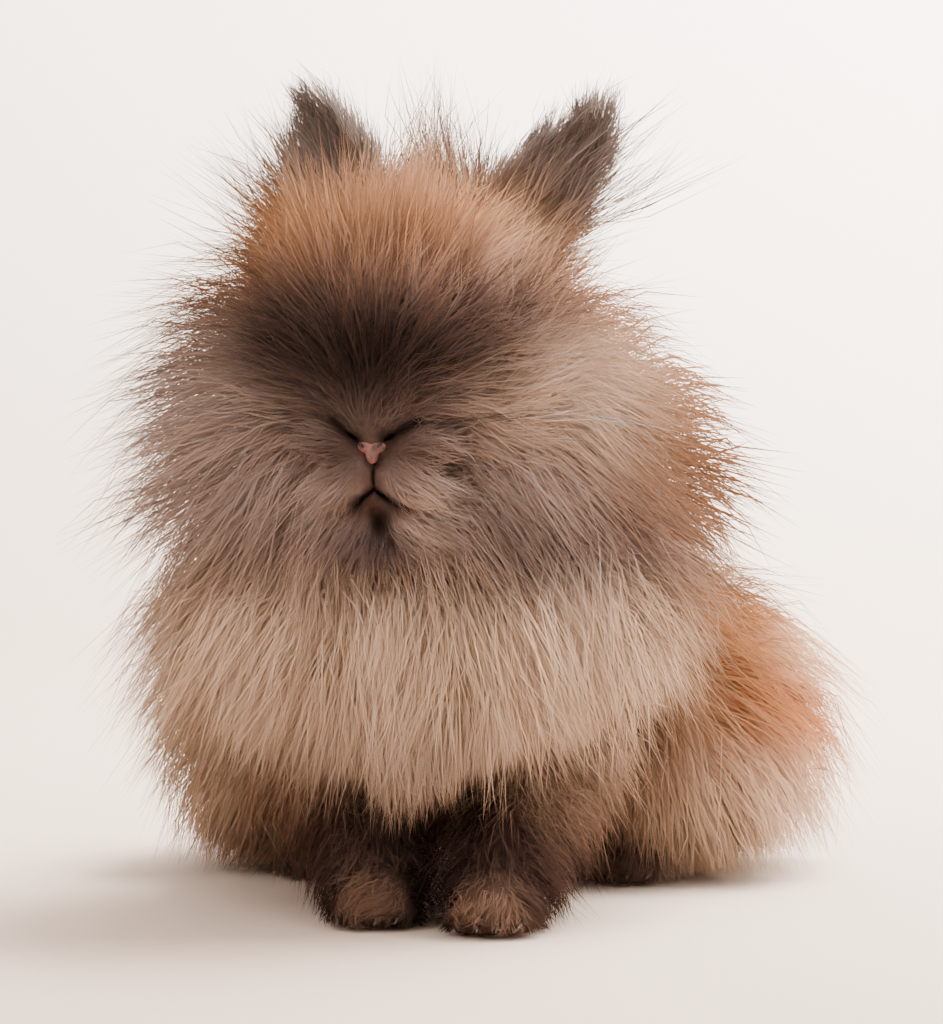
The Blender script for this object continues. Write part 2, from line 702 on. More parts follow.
@dataclass
class Ear:
    """One ear, a leaf hollowed into a cup that opens to the front.

    Args:
        side: "left" or "right".
        root: Where it leaves the head.
        tip: Its point.
    """

    side: str
    root: Vector
    tip: Vector
    half_width: float = 0.0130
    half_depth: float = 0.0075
    hollow: float = 0.84
    hollow_shift: float = 0.0050
    root_depth: float = 0.010
    outward: float = 0.25
    taper: float = 0.55

    def frame(self) -> Matrix:
        """Return the ear's frame: x across it, -y out of its opening and z along it."""
        along = (self.tip - self.root).normalized()
        sign = 1.0 if self.side == "left" else -1.0
        opening = Vector((sign * self.outward, -1.0, 0.1))
        opening = (opening - along * opening.dot(along)).normalized()
        across = along.cross(opening)
        turn = Matrix((across, -opening, along)).transposed().to_4x4()
        return Matrix.Translation(self.root) @ turn

    def build(self) -> bpy.types.Object:
        """Return the ear's shell."""
        length = (self.tip - self.root).length + self.root_depth
        middle = 0.5 * length - self.root_depth
        size = Vector((self.half_width, self.half_depth, 0.5 * length))
        outer_place = Vector((0.0, 0.0, middle))
        outer = ball(self.frame() @ Matrix.LocRotScale(outer_place, None, size), 28, 20)
        inner_place = Vector((0.0, -self.hollow_shift, middle + 0.002))
        inner_size = size * self.hollow
        inner = ball(self.frame() @ Matrix.LocRotScale(inner_place, None, inner_size), 28, 20)
        apply_modifier(outer, "BOOLEAN", operation="DIFFERENCE", object=inner, solver="EXACT")
        bpy.data.objects.remove(inner, do_unlink=True)
        apply_modifier(outer, "REMESH", mode="VOXEL", voxel_size=0.0009)
        apply_modifier(outer, "SMOOTH", factor=0.5, iterations=3)
        outer.data.transform(self.frame().inverted())
        for vertex in outer.data.vertices:
            share = max(vertex.co.z, 0.0) / length
            vertex.co.x *= 1.0 - self.taper * share * share
        outer.data.transform(self.frame())
        return outer


@dataclass
class Skin:
    """The one skin under the coat, from nose to tail."""

    markings: Markings
    body_voxel: float = 0.0030
    head_voxel: float = 0.0011
    body_smooth: int = 8
    head_smooth: int = 4
    ears: tuple[Ear, ...] = (
        Ear("right", Vector((-0.019, -0.054, 0.177)), Vector((-0.032, -0.038, 0.222))),
        Ear("left", Vector((0.016, -0.056, 0.177)), Vector((0.048, -0.046, 0.217))),
    )

    def build(self) -> bpy.types.Object:
        """Return the skin, unwrapped and tinted."""
        head = self.fused([m for form in HEAD_FORMS for m in form.matrices()], self.head_voxel,
                          self.head_smooth)
        head = join([head] + self.lids(), "head_skin")
        apply_modifier(head, "REMESH", mode="VOXEL", voxel_size=self.head_voxel * 0.6)
        self.carve_mouth(head)
        trunk = [m for form in BODY_FORMS for m in form.matrices()] + self.limbs()
        body = self.fused(trunk, self.body_voxel, self.body_smooth)
        skin = join([body, head] + [ear.build() for ear in self.ears], "skin")
        self.flatten_soles(skin)
        self.unwrap(skin)
        self.tint(skin, self.markings)
        select(skin)
        bpy.ops.object.shade_smooth()
        return skin

    @staticmethod
    def fused(matrices: list[Matrix], voxel: float, rounds: int) -> bpy.types.Object:
        """Return one closed surface round several ellipsoids.

        Args:
            matrices: What makes a unit sphere into each ellipsoid.
            voxel: How fine the surface is.
            rounds: How often it is smoothed.
        """
        whole = join([ball(matrix) for matrix in matrices], "flesh")
        apply_modifier(whole, "REMESH", mode="VOXEL", voxel_size=voxel)
        apply_modifier(whole, "SMOOTH", factor=0.5, iterations=rounds)
        return whole

    @staticmethod
    def lids() -> list[bpy.types.Object]:
        """Return a ring of lid round each eye."""
        rings = []
        for side in (1.0, -1.0):
            deselect()
            bpy.ops.mesh.primitive_torus_add(
                major_radius=LID_RADIUS, minor_radius=LID_THICKNESS, major_segments=32,
                minor_segments=10
            )
            ring = bpy.context.active_object
            centre = Vector((side * (EYE_PLACE.x + 0.0042), EYE_PLACE.y - 0.0006, EYE_PLACE.z))
            turn = Euler((0.0, side * math.radians(80.0), -side * math.radians(14.0)))
            shape = Vector((0.80, 1.10, 1.2))
            ring.data.transform(HEAD @ Matrix.LocRotScale(centre, turn, shape))
            rings.append(ring)
        return rings

    @staticmethod
    def limbs() -> list[Matrix]:
        """Return the ellipsoids of the forelegs and of all toes."""
        matrices = []
        for joints in FORE_LEGS.values():
            for number in range(len(joints) - 1):
                start, end = joints[number], joints[number + 1]
                radius = 0.5 * (FORE_LEG_RADII[number] + FORE_LEG_RADII[number + 1])
                reach = 0.5 * (end - start).length + 0.6 * radius
                turn = (end - start).to_track_quat("Z", "Y")
                size = Vector((radius, radius, reach))
                matrices.append(Matrix.LocRotScale((start + end) * 0.5, turn, size))
            matrices += Skin.toes(joints[-1], "fore", 0.0110)
        for side in (1.0, -1.0):
            row = Vector((side * HIND_TOE_ROW.x, HIND_TOE_ROW.y, HIND_TOE_ROW.z))
            matrices += Skin.toes(row, "hind", 0.0120)
        return matrices

    @staticmethod
    def toes(row: Vector, kind: str, half_width: float) -> list[Matrix]:
        """Return the ellipsoids of one foot's toes.

        Args:
            row: The middle of the row of toes.
            kind: "fore" or "hind".
            half_width: Half the width of the foot there.
        """
        matrices = []
        for number in range(TOES_PER_FOOT):
            share = (number - 0.5 * (TOES_PER_FOOT - 1)) / (0.5 * TOES_PER_FOOT)
            place = row + Vector((share * half_width, 0.004 * share * share - 0.003, 0.0))
            place.z = TOE_RADII[kind][2] * 0.8
            turn = Euler((0.0, 0.0, -0.25 * share))
            matrices.append(Matrix.LocRotScale(place, turn, Vector(TOE_RADII[kind])))
        return matrices

    @staticmethod
    def carve_mouth(head: bpy.types.Object) -> None:
        """Cut the nostrils, the cleft of the upper lip and the line of the mouth.

        Args:
            head: The head's surface.
        """
        cutters = []
        for crease in CREASES:
            start, end = (Vector((x, 0.0, z)) for x, z in (crease.start, crease.end))
            run = (end - start) * crease.cut
            end = start + run
            radii = Vector((0.5 * run.length + 0.0008, 0.0040, 0.0006))
            turn = Euler((0.0, -math.atan2(run.z, run.x), 0.0))
            middle = (start + end) * 0.5
            middle.y = 0.0025 if middle.z > -0.012 else 0.0060
            place = Matrix.LocRotScale(middle, turn, radii)
            cutters.append(ball(FACE @ place, 16, 10))
        pot = bpy.data.collections.new("mouth")
        for cutter in cutters:
            pot.objects.link(cutter)
        apply_modifier(head, "BOOLEAN", operation="DIFFERENCE", operand_type="COLLECTION",
                       collection=pot, solver="EXACT")
        for cutter in cutters:
            bpy.data.objects.remove(cutter, do_unlink=True)
        bpy.data.collections.remove(pot)

    @staticmethod
    def flatten_soles(skin: bpy.types.Object) -> None:
        """Press whatever reaches below the floor up onto it.

        Args:
            skin: The skin.
        """
        for vertex in skin.data.vertices:
            vertex.co.z = max(vertex.co.z, FLOOR_CLEARANCE)

    @staticmethod
    def unwrap(skin: bpy.types.Object) -> None:
        """Unwrap the skin on its own shape.

        Args:
            skin: The skin.
        """
        for layer in list(skin.data.uv_layers):
            skin.data.uv_layers.remove(layer)
        skin.data.uv_layers.new(name=UNWRAP)
        select(skin)
        bpy.ops.object.mode_set(mode="EDIT")
        bpy.ops.mesh.select_all(action="SELECT")
        bpy.ops.uv.smart_project(angle_limit=math.radians(66.0), island_margin=0.002)
        bpy.ops.object.mode_set(mode="OBJECT")

    @staticmethod
    def tint(skin: bpy.types.Object, markings: Markings) -> None:
        """Give the skin the coat's markings, a little darker as in the depth of wool.

        Args:
            skin: The skin.
            markings: The pattern of the coat.
        """
        tints = np.ones((len(skin.data.vertices), 4))
        tints[:, :3] = markings.colours(read(skin.data.vertices, "co", 3)) * DEPTH_SHADE
        layer = skin.data.attributes.new(TINT, "FLOAT_COLOR", "POINT")
        layer.data.foreach_set("color", tints.ravel())


@dataclass
class Roots:
    """Where the strands grow.

    Args:
        places: Their places on the skin.
        normals: The skin's normals there.
        patches: Their places on the unwrap.
        shares: How far each belongs to each region.
        tufts: The number of the strand that leads each one's tuft.
        shades: How light each strand is beside its fellows.
    """

    places: np.ndarray
    normals: np.ndarray
    patches: np.ndarray
    shares: np.ndarray
    tufts: np.ndarray
    shades: np.ndarray

    def blend(self, values: list[float]) -> np.ndarray:
        """Return a value of each region blended at each root.

        Args:
            values: One value a region, in the order of Region.
        """
        return self.shares @ np.array(values)


@dataclass
class Coat:
    """The wool, closed strands drawn together into tufts, each widest at its bend.

    Args:
        skin: What the coat grows on.
        markings: Its pattern.
        knees: The first of a strand's steps at which it may bend, and the one after the last.
        steps: How many steps a strand is combed in.
        root_depth: How deep its root is sunk in the skin.
        thickness: Its thickness as a share of its width.
        most_strands: How many strands the coat has at most.
        longest: The most that a strand may measure.
        small_tuft: How many strands share a small tuft.
        great_tuft: How many share a great one.
        frizz: How far a strand wanders from its line.
        frizz_share: The most of its length that it may wander.
        stray: The share of strands that are longer than their fellows.
        stray_gain: How much longer they are.
        unevenness: How far the lengths of tufts differ.
        scatter: How far the lies of great tufts, tufts and strands differ.
        shade_spreads: How far the shades of tufts, strands and great tufts differ.
        short_lengths: The least and the most of the full length that a short strand has.
        full_lengths: The same for the other strands.
        short_share: The share of short strands.
        drift_length: How far apart the slow turns of the lie are.
        softness: How far a strand is lit as the skin under it would be.
        patch_size: The size of its patch on the unwrap.
    """

    skin: bpy.types.Object
    markings: Markings
    knees: tuple[int, int] = (4, 8)
    steps: int = 12
    root_depth: float = 0.0015
    thickness: float = 0.6
    most_strands: int = 120000
    longest: float = 0.066
    small_tuft: int = 14
    great_tuft: int = 120
    frizz: float = 0.0028
    frizz_share: float = 0.07
    stray: float = 0.03
    stray_gain: float = 1.25
    unevenness: float = 0.12
    scatter: tuple[float, float, float] = (0.14, 0.18, 0.15)
    shade_spreads: tuple[float, float, float] = (0.09, 0.04, 0.08)
    short_lengths: tuple[float, float] = (0.35, 0.70)
    full_lengths: tuple[float, float] = (0.74, 1.12)
    short_share: float = 0.32
    drift_length: float = 0.04
    softness: float = 0.85
    patch_size: float = 0.003
    random: np.random.Generator = field(default_factory=lambda: np.random.default_rng(SEED))

    def build(self) -> list[bpy.types.Object]:
        """Return the coat's pieces."""
        roots = self.grow()
        lines = self.comb(roots)
        return self.weave(roots, lines)

    def grow(self) -> Roots:
        """Return roots spread over the skin as densely as each region's wool."""
        mesh = self.skin.data
        mesh.calc_loop_triangles()
        corners = read(mesh.loop_triangles, "vertices", 3, np.int32)
        loops = read(mesh.loop_triangles, "loops", 3, np.int32)
        places = read(mesh.vertices, "co", 3)
        normals = read(mesh.vertices, "normal", 3)
        unwrap = read(mesh.uv_layers[UNWRAP].uv, "vector", 2)
        a, b, c = (places[corners[:, k]] for k in range(3))
        area = 0.5 * np.linalg.norm(np.cross(b - a, c - a), axis=1)
        middle = (a + b + c) / 3.0
        shares = self.region_shares(middle)
        dense = shares @ np.array([WOOLS[region].dense for region in Region]) * CM2_PER_M2
        dense *= self.bareness(middle, unit(np.cross(b - a, c - a)))
        total = min(int(np.sum(area * dense)), self.most_strands)
        chance = area * dense / np.sum(area * dense)
        picked = self.random.choice(len(corners), size=total, p=chance)
        first, second = np.sqrt(self.random.random(total)), self.random.random(total)
        weights = np.stack([1.0 - first, first * (1.0 - second), first * second], axis=1)
        place = np.einsum("nk,nkd->nd", weights, places[corners[picked]])
        normal = unit(np.einsum("nk,nkd->nd", weights, normals[corners[picked]]))
        patch = np.einsum("nk,nkd->nd", weights, unwrap[loops[picked]])
        LOG.info("roots: %d of %d", total, int(np.sum(area * dense)))
        tufts = self.tufts(place, self.small_tuft)
        by_tuft, by_strand, by_great_tuft = self.shade_spreads
        shades = self.random.normal(1.0, by_tuft, total)[tufts]
        shades = shades * self.random.normal(1.0, by_strand, total)
        shades *= self.random.normal(1.0, by_great_tuft, total)[self.tufts(place, self.great_tuft)]
        return Roots(place, normal, patch, self.region_shares(place), tufts, shades.clip(0.6, 1.5))

    @staticmethod
    def region_shares(points: np.ndarray) -> np.ndarray:
        """Return how far each point belongs to each region, one region a column.

        Args:
            points: Places on the skin.
        """
        order = {region: number for number, region in enumerate(Region)}
        least = np.full((len(points), len(order)), 9.0)
        forms = [(form.region, m) for form in HEAD_FORMS + BODY_FORMS for m in form.matrices()]
        for number, matrix in enumerate(Skin.limbs()):
            forms.append((Region.FORELEG if number % 8 < 3 and number < 16 else Region.FOOT, matrix))
        for ear in Skin.ears:
            size = Vector((ear.half_width, ear.half_depth, 0.5 * (ear.tip - ear.root).length))
            centre = Vector((0.0, 0.0, 0.55 * (ear.tip - ear.root).length))
            forms.append((Region.EAR, ear.frame() @ Matrix.LocRotScale(centre, None, size)))
        for region, matrix in forms:
            column = order[region]
            least[:, column] = np.minimum(least[:, column], reach_in(matrix, points))
        shares = np.exp(-(least - least.min(axis=1, keepdims=True)) / 0.08)
        return shares / shares.sum(axis=1, keepdims=True)

    def bareness(self, points: np.ndarray, normals: np.ndarray) -> np.ndarray:
        """Return what share of the wool grows at each point.

        Args:
            points: Places on the skin.
            normals: Its normals there.
        """
        face = Frame.FACE.local(points)
        pad = np.linalg.norm((face - np.array(NOSE_PAD_CENTRE)) / np.array((1.0, 2.0, 1.1)), axis=1)
        share = np.clip((pad - 0.0026) / 0.0012, 0.0, 1.0)
        share *= np.clip(3.0 * distance_to_creases(face) - 0.6, 0.0, 1.0)
        under = (normals[:, 2] < -0.6) & (points[:, 2] < 0.045) & (points[:, 1] > -0.03)
        sole = points[:, 2] < 0.002
        return share * np.where(under, 1.6, 1.0) * np.where(sole, 0.0, 1.0) * self.open_air(points)

    @staticmethod
    def open_air(points: np.ndarray) -> np.ndarray:
        """Return 0 for points deep inside another form's flesh and 1 elsewhere.

        Args:
            points: Places on the skin.
        """
        free = np.ones(len(points))
        for form in HEAD_FORMS + BODY_FORMS:
            for matrix in form.matrices():
                free[reach_in(matrix, points) < BURIED] = 0.0
        return free

    def comb(self, roots: Roots) -> np.ndarray:
        """Return each strand's line of points, with its tip drawn to its tuft's.

        Args:
            roots: Where the strands grow.

        Returns:
            An array of strands by steps by coordinates.
        """
        number = len(roots.places)
        kinds = [WOOLS[region] for region in Region]
        flow = np.zeros((number, 3))
        for column, kind in enumerate(kinds):
            flow += roots.shares[:, column: column + 1] * kind.lie.directions(roots.places)
        near = roots.tufts
        luck = self.random.random(number)[near]
        swells = [(swell, swell.weights(roots.places) * (luck < swell.share)) for swell in SWELLS]
        for swell, weight in swells:
            flow += weight[:, None] * np.array(swell.turn)
        far = self.tufts(roots.places, self.great_tuft)
        flow += self.breeze(roots.places)
        for spread, leaders in zip(self.scatter, (far, near, np.arange(number))):
            flow += self.random.normal(0.0, spread, (number, 3))[leaders]
        normals = roots.normals
        flow = unit(flow - normals * np.sum(flow * normals, axis=1, keepdims=True) * 0.9)
        stand = roots.blend([kind.stand for kind in kinds])
        settle_share = roots.blend([kind.settle for kind in kinds])
        droop = roots.blend([kind.droop for kind in kinds])
        length = roots.blend([kind.length for kind in kinds]) * self.face_growth(roots)
        length *= 1.0 + self.random.normal(0.0, self.unevenness, number)[near]
        short = self.random.random(number) < self.short_share
        length *= np.where(short, self.random.uniform(*self.short_lengths, number),
                           self.random.uniform(*self.full_lengths, number))
        length *= np.where(self.random.random(number) < self.stray, self.stray_gain, 1.0)
        for swell, weight in swells:
            length *= 1.0 + swell.gain * weight
        length = np.minimum(length, self.longest)
        start = unit(normals * stand[:, None] + flow * (1.0 - stand)[:, None])
        end = normals * settle_share[:, None] + flow * (1.0 - settle_share)[:, None]
        end[:, 2] -= droop
        end = unit(end)
        lines = np.empty((number, self.steps + 1, 3))
        lines[:, 0] = roots.places - start * self.root_depth
        for step in range(self.steps):
            share = (step + 0.5) / self.steps
            bend = share ** 0.8
            run = unit(start * (1.0 - bend) + end * bend)
            lines[:, step + 1] = lines[:, step] + run * (length / self.steps)[:, None]
        along = np.linspace(0.0, 1.0, self.steps + 1)
        clump = roots.blend([kind.clump for kind in kinds])[:, None, None]
        lines += (lines[near] - lines) * (along ** 1.4)[None, :, None] * clump
        lines += (lines[far] - lines) * (along ** 2.0)[None, :, None] * clump * 0.35
        wander = np.minimum(self.frizz, length * self.frizz_share)[:, None]
        stray = self.random.normal(0.0, 1.0, (2, number, 3)) * wander
        lines += stray[0][:, None] * along[None, :, None]
        lines += stray[1][:, None] * np.sin(along * math.pi)[None, :, None]
        hem = roots.blend([kind.hem for kind in kinds])
        hem *= self.hem_shape(roots.places[:, 0])
        hem = hem * (1.0 + self.random.normal(0.0, self.unevenness, number)[near])
        lines = self.keep_inside(self.lift_to_hem(lines, hem))
        lines[:, :, 2] = np.maximum(lines[:, :, 2], FLOOR_CLEARANCE + 0.0004)
        return lines

    @staticmethod
    def hem_shape(across: np.ndarray) -> np.ndarray:
        """Return how the hem dips at the middle of the bib and rises at the bib's left end.

        Args:
            across: How far each root lies to the animal's left.
        """
        dip = 0.42 * np.exp(-(((across + 0.005) / 0.008) ** 2))
        rise = 0.5 * np.exp(-(((across - 0.052) / 0.018) ** 2))
        return 1.0 - dip + rise

    def breeze(self, points: np.ndarray) -> np.ndarray:
        """Return a slow drift of the lie from place to place.

        Args:
            points: Places on the skin, one a row.
        """
        waves = self.random.normal(0.0, 2.0 * math.pi / self.drift_length, (8, 3))
        drifts = self.random.normal(0.0, 0.13, (8, 3))
        return np.sin(points @ waves.T + self.random.uniform(0.0, 2.0 * math.pi, 8)) @ drifts

    @staticmethod
    def lift_to_hem(lines: np.ndarray, hem: np.ndarray) -> np.ndarray:
        """Return the strands shortened so that no tip hangs below its hem.

        Args:
            lines: The strands' lines of points.
            hem: The height of each strand's hem.
        """
        roots, tips = lines[:, 0, 2], lines[:, -1, 2]
        fall = np.maximum(roots - tips, 1e-5)
        keep = np.where(tips < hem, (roots - hem) / fall, 1.0).clip(0.22, 1.0)
        return lines[:, :1] + (lines - lines[:, :1]) * keep[:, None, None]

    @staticmethod
    def keep_inside(lines: np.ndarray) -> np.ndarray:
        """Return the strands shortened so that each stays in the room round the animal.

        Args:
            lines: The strands' lines of points.
        """
        low, high = (np.array(corner) for corner in ROOM)
        roots, runs = lines[:, :1], lines - lines[:, :1]
        need = (runs / np.where(runs > 0.0, high - roots, low - roots - 0.001)).max(axis=(1, 2))
        return roots + runs / np.maximum(need, 1.0)[:, None, None]

    @staticmethod
    def tufts(places: np.ndarray, size: int) -> np.ndarray:
        """Return the number of the strand that leads each strand's tuft.

        Args:
            places: The roots.
            size: How many strands share a leader.
        """
        heads = np.arange(0, len(places), size)
        tree = KDTree(len(heads))
        for head in heads:
            tree.insert(places[head], int(head))
        tree.balance()
        return np.array([tree.find(place)[1] for place in places])

    @staticmethod
    def face_growth(roots: Roots) -> np.ndarray:
        """Return how the wool shortens towards the nose and lengthens towards the cheeks.

        Args:
            roots: Where the strands grow.
        """
        face = Frame.FACE.local(roots.places)
        low, high = -0.0165, -0.0010
        along = face[:, 2].clip(low, high)
        away = np.sqrt(face[:, 0] ** 2 + (face[:, 1] - 0.005) ** 2 + (face[:, 2] - along) ** 2)
        on_face = roots.blend([float(r in (Region.FACE, Region.MUZZLE)) for r in Region])
        growth = np.clip(0.09 + (away - 0.003) / 0.022, 0.09, 1.05)
        growth = np.minimum(growth, 0.08 + 0.22 * distance_to_creases(face))
        skull = Frame.SKULL.local(roots.places)
        eyes = np.stack([skull - np.array((side * EYE_PLACE.x, *EYE_PLACE.yz))
                         for side in (1.0, -1.0)])
        near_eye = np.linalg.norm(eyes, axis=2).min(axis=0)
        growth = np.minimum(growth, np.clip((near_eye - 0.0070) / 0.004, 0.25, 1.10))
        return 1.0 + on_face * (growth - 1.0)

    def weave(self, roots: Roots, lines: np.ndarray) -> list[bpy.types.Object]:
        """Return the strands as pieces, one or more a region.

        Args:
            roots: Where the strands grow.
            lines: Their lines of points.
        """
        finish = WoolFinish("wool").material()
        owner = roots.shares.argmax(axis=1)
        most = PIECE_TRIANGLES // len(STRAND_FACES)
        pieces = []
        for column, region in enumerate(Region):
            mine = np.flatnonzero(owner == column)
            parts = max(1, math.ceil(len(mine) / most))
            for part, chosen in enumerate(np.array_split(mine, parts)):
                if len(chosen):
                    name = f"coat_{region.value}_{part + 1}"
                    pieces.append(self.piece(name, roots, lines, chosen, finish))
        return pieces

    def piece(self, name: str, roots: Roots, lines: np.ndarray, chosen: np.ndarray,
              finish: bpy.types.Material) -> bpy.types.Object:
        """Return one piece of the coat.

        Args:
            name: Its name.
            roots: Where all strands grow.
            lines: All strands' lines.
            chosen: The numbers of the strands in this piece.
            finish: Its material.
        """
        number = len(chosen)
        strands, normals = lines[chosen], roots.normals[chosen]
        kinds = [WOOLS[region] for region in Region]
        width = roots.shares[chosen] @ np.array([kind.width for kind in kinds])
        half = (0.5 * width * self.random.uniform(0.7, 1.3, number))[:, None]
        each, knee = np.arange(number), self.random.integers(self.knees[0], self.knees[1], number)
        run = unit(strands[each, knee + 1] - strands[each, knee - 1])
        across = unit(np.cross(run, normals))
        ridge = np.cross(across, run) * 2.0 * self.thickness
        rows, soft = [strands[:, 0]], [normals]
        for side, rise in ((-1.0, -0.35), (0.0, 0.65), (1.0, -0.35)):
            shift = (across * side + ridge * rise) * half
            rows.append(strands[each, knee] + shift)
            soft.append(unit(shift))
        rows.append(strands[:, -1])
        soft.append(normals)
        points = np.stack(rows, axis=1)
        per_strand = points.shape[1]
        faces = np.array(STRAND_FACES)
        mesh = bpy.data.meshes.new(name)
        mesh.vertices.add(number * per_strand)
        mesh.vertices.foreach_set("co", points.ravel())
        corners = (faces[None] + (np.arange(number) * per_strand)[:, None, None]).reshape(-1, 3)
        mesh.loops.add(corners.size)
        mesh.loops.foreach_set("vertex_index", corners.ravel().astype(np.int32))
        mesh.polygons.add(len(corners))
        mesh.polygons.foreach_set("loop_start", np.arange(0, corners.size, 3, dtype=np.int32))
        mesh.update(calc_edges=True)
        mesh.validate()
        obj = bpy.data.objects.new(name, mesh)
        bpy.context.scene.collection.objects.link(obj)
        hold = roots.shares[chosen] @ np.array([kind.hold for kind in kinds])
        places = points + (points[:, :1] - points) * hold[:, None, None]
        self.tint(mesh, places, roots.shades[chosen])
        self.lay_patches(mesh, roots.patches[chosen], per_strand, corners)
        mesh.shade_smooth()
        blend = np.stack(soft, axis=1) * (1.0 - self.softness) + normals[:, None] * self.softness
        mesh.normals_split_custom_set_from_vertices(unit(blend.reshape(-1, 3)))
        mesh.materials.append(finish)
        return obj

    def tint(self, mesh: bpy.types.Mesh, points: np.ndarray, shades: np.ndarray) -> None:
        """Colour the strands by the markings, darker at the root and varied from tuft to tuft.

        Args:
            mesh: The piece's mesh.
            points: Where each of its points takes its colour from, strand by strand.
            shades: How light each of its strands is.
        """
        number, per_strand = points.shape[:2]
        colours = self.markings.colours(points.reshape(-1, 3)).reshape(number, per_strand, 3)
        ramp = np.array((0.97, 1.0, 1.0, 1.0, 1.05))
        warmth = self.random.normal(0.0, 0.035, number)
        shade = colours * ramp[None, :, None] * shades[:, None, None]
        shade[:, :, 0] *= 1.0 + warmth[:, None]
        shade[:, :, 2] *= 1.0 - warmth[:, None]
        tints = np.ones((number * per_strand, 4))
        tints[:, :3] = shade.reshape(-1, 3).clip(0.0, 1.0)
        layer = mesh.attributes.new(TINT, "FLOAT_COLOR", "POINT")
        layer.data.foreach_set("color", tints.ravel())

    def lay_patches(self, mesh: bpy.types.Mesh, patches: np.ndarray, per_strand: int,
                    corners: np.ndarray) -> None:
        """Give each strand a small patch of the unwrap at its root's place.

        Args:
            mesh: The piece's mesh.
            patches: The roots' places on the unwrap.
            per_strand: Points a strand.
            corners: The triangles' point numbers.
        """
        layer = mesh.uv_layers.new(name=UNWRAP)
        shape = np.array(((0.5, 0.0), (0.0, 0.5), (0.5, 0.6), (1.0, 0.5), (0.5, 1.0)))
        patch = (shape - 0.5) * self.patch_size
        spots = (patches[:, None] + patch[None]).reshape(-1, 2).clip(0.0, 1.0)
        layer.uv.foreach_set("vector", spots[corners.ravel()].ravel())


@dataclass
class Nose:
    """The small bare pad between the nostrils: two upper lobes and a stem."""

    lobe: Form = Form(Region.MUZZLE, (0.0016, 0.0042, -0.0014), (0.0024, 0.0018, 0.0018),
                      (0.0, -24.0, 0.0), Frame.FACE, True)
    stem: Form = Form(Region.MUZZLE, (0.0, 0.0041, -0.0036), (0.0016, 0.0017, 0.0024),
                      frame=Frame.FACE)
    nostril: Form = Form(Region.MUZZLE, (0.0024, 0.0025, -0.0011), (0.0010, 0.0009, 0.00042),
                         (0.0, -46.0, 0.0), Frame.FACE, True)

    def build(self) -> list[bpy.types.Object]:
        """Return the nose pad and the dark of its nostrils."""
        parts = [ball(matrix) for form in (self.lobe, self.stem) for matrix in form.matrices()]
        pad = join(parts, "nose_pad")
        apply_modifier(pad, "REMESH", mode="VOXEL", voxel_size=0.0003)
        apply_modifier(pad, "SMOOTH", factor=0.5, iterations=2)
        holes = join([ball(matrix, 16, 10) for matrix in self.nostril.matrices()], "nostrils")
        holes.data.materials.append(
            GlossFinish("nostril_skin", Tone.LIP, Tone.MASK, 0.9, 0.0, 500.0).material()
        )
        bpy.ops.object.shade_smooth()
        pad.data.materials.append(
            GlossFinish("nose_skin", Tone.PINK, Tone.LIP, 0.6, 0.0, 500.0, 0.4).material()
        )
        select(pad)
        bpy.ops.object.shade_smooth()
        return [pad, holes]


@dataclass
class Claws:
    """The claws, one before each toe."""

    length: float = 0.008
    radius: float = 0.0011
    tilt: float = 104.0

    def build(self) -> list[bpy.types.Object]:
        """Return the claws as one piece."""
        rows = [(joints[-1], "fore", 0.0110) for joints in FORE_LEGS.values()]
        for side in (1.0, -1.0):
            rows.append((Vector((side * HIND_TOE_ROW.x, HIND_TOE_ROW.y, 0.0)), "hind", 0.0120))
        claws = []
        for row, kind, half_width in rows:
            for matrix in Skin.toes(row, kind, half_width):
                place, turn, size = matrix.decompose()
                front = place + Vector((0.0, -size.y * 0.92, -size.z * 0.15))
                yaw = turn.to_euler().z
                deselect()
                bpy.ops.mesh.primitive_cone_add(
                    vertices=10, radius1=self.radius, radius2=0.00012, depth=self.length
                )
                claw = bpy.context.active_object
                angles = Euler((math.radians(self.tilt), 0.0, yaw))
                claw.data.transform(Matrix.LocRotScale(front, angles, None))
                claws.append(claw)
        whole = join(claws, "claws")
        whole.data.materials.append(
            GlossFinish("claw_horn", Tone.HORN, Tone.LEG, 0.35, 0.2, 700.0).material()
        )
        bpy.ops.object.shade_smooth()
        return [whole]


